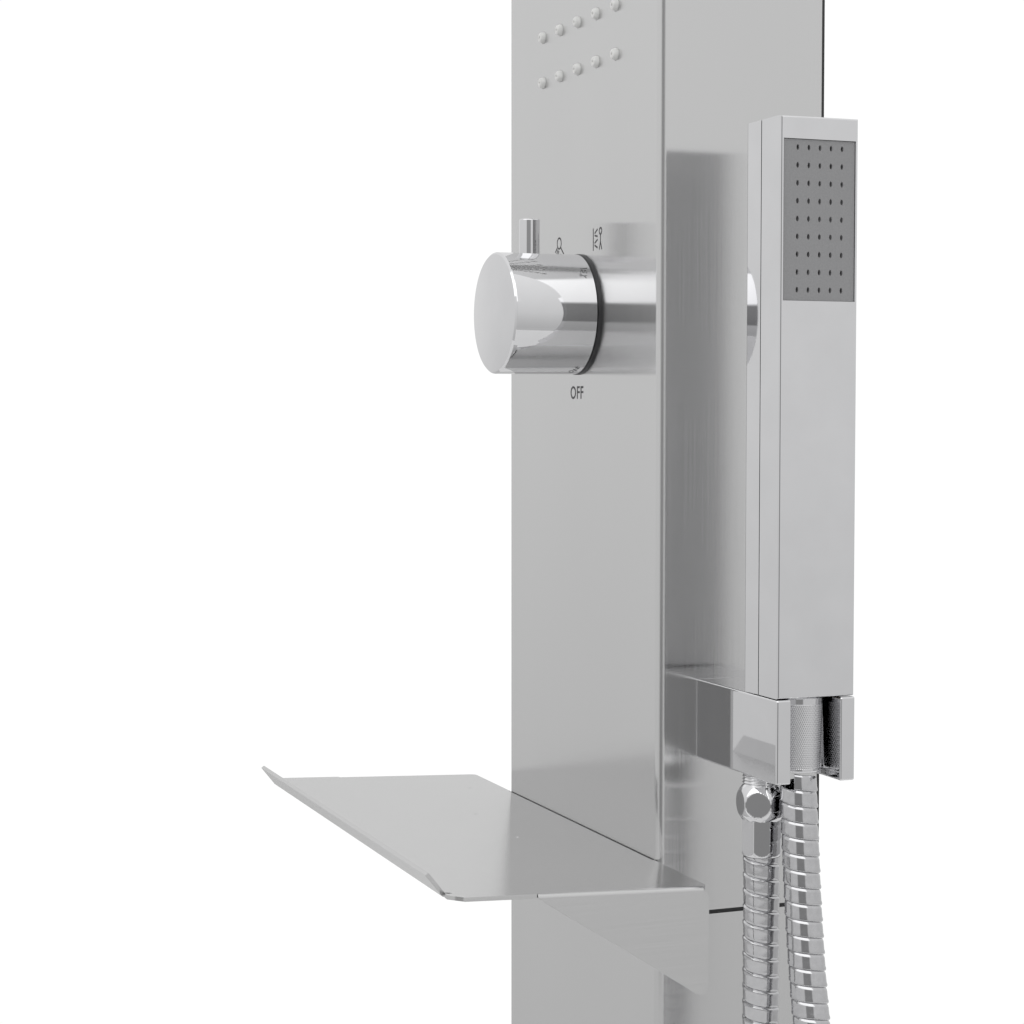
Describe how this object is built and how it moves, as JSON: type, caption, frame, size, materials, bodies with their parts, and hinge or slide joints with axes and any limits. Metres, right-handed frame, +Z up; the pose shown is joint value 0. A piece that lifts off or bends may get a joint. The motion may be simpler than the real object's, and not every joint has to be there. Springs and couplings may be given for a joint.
{
  "type": "rainfall shower column",
  "caption": "Wall-mounted brushed steel shower column with rain head, body jets, control knob, stick handset on a metal hose and a shelf.",
  "frame": {"origin": "middle of the upper wall bracket's two screw holes, on the wall plane", "axes": "+Z up the column, +X to the right seen from the front, the column faces -Y and the wall is the plane y = 0"},
  "size_m": [0.3545, 0.46, 1.5797],
  "materials": {
    "brushed_stainless": "brushed along the column, satin",
    "chrome": "polished chrome plate",
    "hose_chrome": "double-lock chromed metal hose",
    "brass": "plain turned brass",
    "copper_pipe": "drawn copper, dull",
    "zinc_steel": "zinc-plated steel",
    "nozzle_silicone": "translucent light grey silicone",
    "dark_silicone": "dark silicone behind the spray holes",
    "black_rubber": "black rubber seal",
    "grey_plastic": "satin grey ABS",
    "white_plastic": "white acetal",
    "black_plastic": "black acetal"
  },
  "bodies": {
    "root": {"upper_casing": "brushed_stainless", "lower_casing": "brushed_stainless", "seam_joiner": "black_plastic", "bottom_cap": "brushed_stainless", "back_gasket": "black_rubber", "upper_wall_bracket": "zinc_steel", "upper_hanger": "zinc_steel", "lower_wall_bracket": "zinc_steel", "lower_hanger": "zinc_steel", "rain_head_casing": "brushed_stainless", "rain_head_plate": "brushed_stainless", "rain_nozzle_mat": "nozzle_silicone", "rain_chamber": "white_plastic", "head_support_rails": "zinc_steel", "jet_nozzle_mat": "nozzle_silicone", "jet_manifold": "white_plastic", "valve_body": "brass", "valve_cartridge": "white_plastic", "valve_lock_nut": "brass", "knob_ring": "black_plastic", "handset_holder": "chrome", "holder_washer": "black_rubber", "holder_lock_nut": "brass", "outlet_nipple": "chrome", "hose_hex_nut": "chrome", "hose_washer": "black_rubber", "hose_ferrule": "chrome", "shower_hose": "hose_chrome", "shelf": "brushed_stainless", "shelf_screws": "chrome", "shelf_rivet_nuts": "zinc_steel", "inlet_nipple": "brass", "inlet_lock_nut": "brass", "inlet_pipe": "copper_pipe", "rain_feed_pipe": "copper_pipe", "jet_feed_pipe": "copper_pipe", "handset_feed_pipe": "copper_pipe", "union_nuts": "brass"},
    "knob": {"control_knob": "chrome", "knob_pin": "chrome", "knob_spindle": "brass", "knob_grub_screw": "zinc_steel"},
    "hose_end": {"hose_cone_nut": "chrome", "cone_nut_washer": "black_rubber"},
    "handset": {"handset_back_shell": "chrome", "handset_front_shell": "chrome", "handset_spray_plate": "grey_plastic", "handset_nozzle_mat": "dark_silicone", "handset_chamber": "white_plastic", "handset_water_tube": "white_plastic", "handset_stem": "brass"}
  },
  "joints": [
    {"name": "knob_turn", "type": "hinge", "parent": "root", "child": "knob", "pos_m": [0, -0.09, -0.56], "axis": [0, 1, 0], "range_deg": [-180, 180]},
    {"name": "handset_lift", "type": "slide", "parent": "root", "child": "hose_end", "axis": [0, 0, 1], "range_m": [0, 0.08]},
    {"name": "handset_turn", "type": "hinge", "parent": "hose_end", "child": "handset", "pos_m": [0.1315, -0.0385, -0.7], "axis": [0, 0, 1], "continuous": true}
  ]
}
